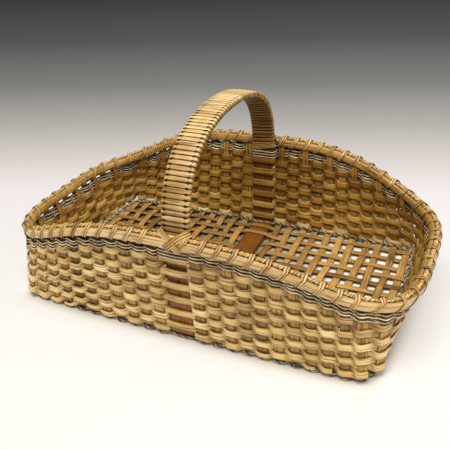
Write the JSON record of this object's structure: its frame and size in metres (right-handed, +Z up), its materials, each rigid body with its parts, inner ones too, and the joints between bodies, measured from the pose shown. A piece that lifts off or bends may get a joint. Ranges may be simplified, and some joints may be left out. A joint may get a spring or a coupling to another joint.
{
  "type": "herb drying basket",
  "caption": "Low oblong basket of woven reed with an open twill base, humped long sides, lashed rim and a fixed cane-wrapped hoop handle, for drying herbs.",
  "frame": {"origin": "under the middle of the base, on the surface it stands on", "axes": "+X along the basket, +Y across it in the plane of the handle, +Z up"},
  "size_m": [0.482, 0.2952, 0.2189],
  "materials": {
    "flat_reed": "raw split reed",
    "flat_oval_weaver": "raw split reed",
    "rim_reed": "raw half-round reed",
    "hoop_wood": "oiled wood",
    "binding_cane": "smooth cane",
    "twining_strand": "dyed twisted strand"
  },
  "bodies": {
    "root": {"cross_stake_01": "flat_reed", "cross_stake_02": "flat_reed", "cross_stake_03": "flat_reed", "cross_stake_04": "flat_reed", "cross_stake_05": "flat_reed", "cross_stake_06": "flat_reed", "cross_stake_07": "flat_reed", "cross_stake_08": "flat_reed", "cross_stake_09": "flat_reed", "cross_stake_10": "flat_reed", "cross_stake_11": "flat_reed", "cross_stake_12": "flat_reed", "cross_stake_13": "flat_reed", "cross_stake_14": "flat_reed", "cross_stake_15": "flat_reed", "cross_stake_16": "flat_reed", "cross_stake_17": "flat_reed", "cross_stake_18": "flat_reed", "cross_stake_19": "flat_reed", "cross_stake_20": "flat_reed", "cross_stake_21": "flat_reed", "cross_stake_22": "flat_reed", "long_stake_01": "flat_reed", "long_stake_02": "flat_reed", "long_stake_03": "flat_reed", "long_stake_04": "flat_reed", "long_stake_05": "flat_reed", "long_stake_06": "flat_reed", "long_stake_07": "flat_reed", "long_stake_08": "flat_reed", "long_stake_09": "flat_reed", "long_stake_10": "flat_reed", "long_stake_11": "flat_reed", "long_stake_12": "flat_reed", "weaver_row_1": "flat_oval_weaver", "weaver_row_2": "flat_oval_weaver", "weaver_row_3": "flat_oval_weaver", "weaver_row_4": "flat_oval_weaver", "weaver_row_5": "flat_oval_weaver", "weaver_row_6": "flat_oval_weaver", "weaver_row_7": "flat_oval_weaver", "short_row_front_1": "flat_oval_weaver", "short_row_front_2": "flat_oval_weaver", "short_row_front_3": "flat_oval_weaver", "short_row_front_4": "flat_oval_weaver", "short_row_front_5": "flat_oval_weaver", "short_row_back_1": "flat_oval_weaver", "short_row_back_2": "flat_oval_weaver", "short_row_back_3": "flat_oval_weaver", "short_row_back_4": "flat_oval_weaver", "short_row_back_5": "flat_oval_weaver", "outer_rim": "rim_reed", "inner_rim": "rim_reed", "rim_filler": "rim_reed", "handle_hoop": "hoop_wood", "handle_wrap": "binding_cane", "rim_lashing": "binding_cane", "twined_band": "twining_strand", "base_twine": "twining_strand"}
  },
  "joints": []
}
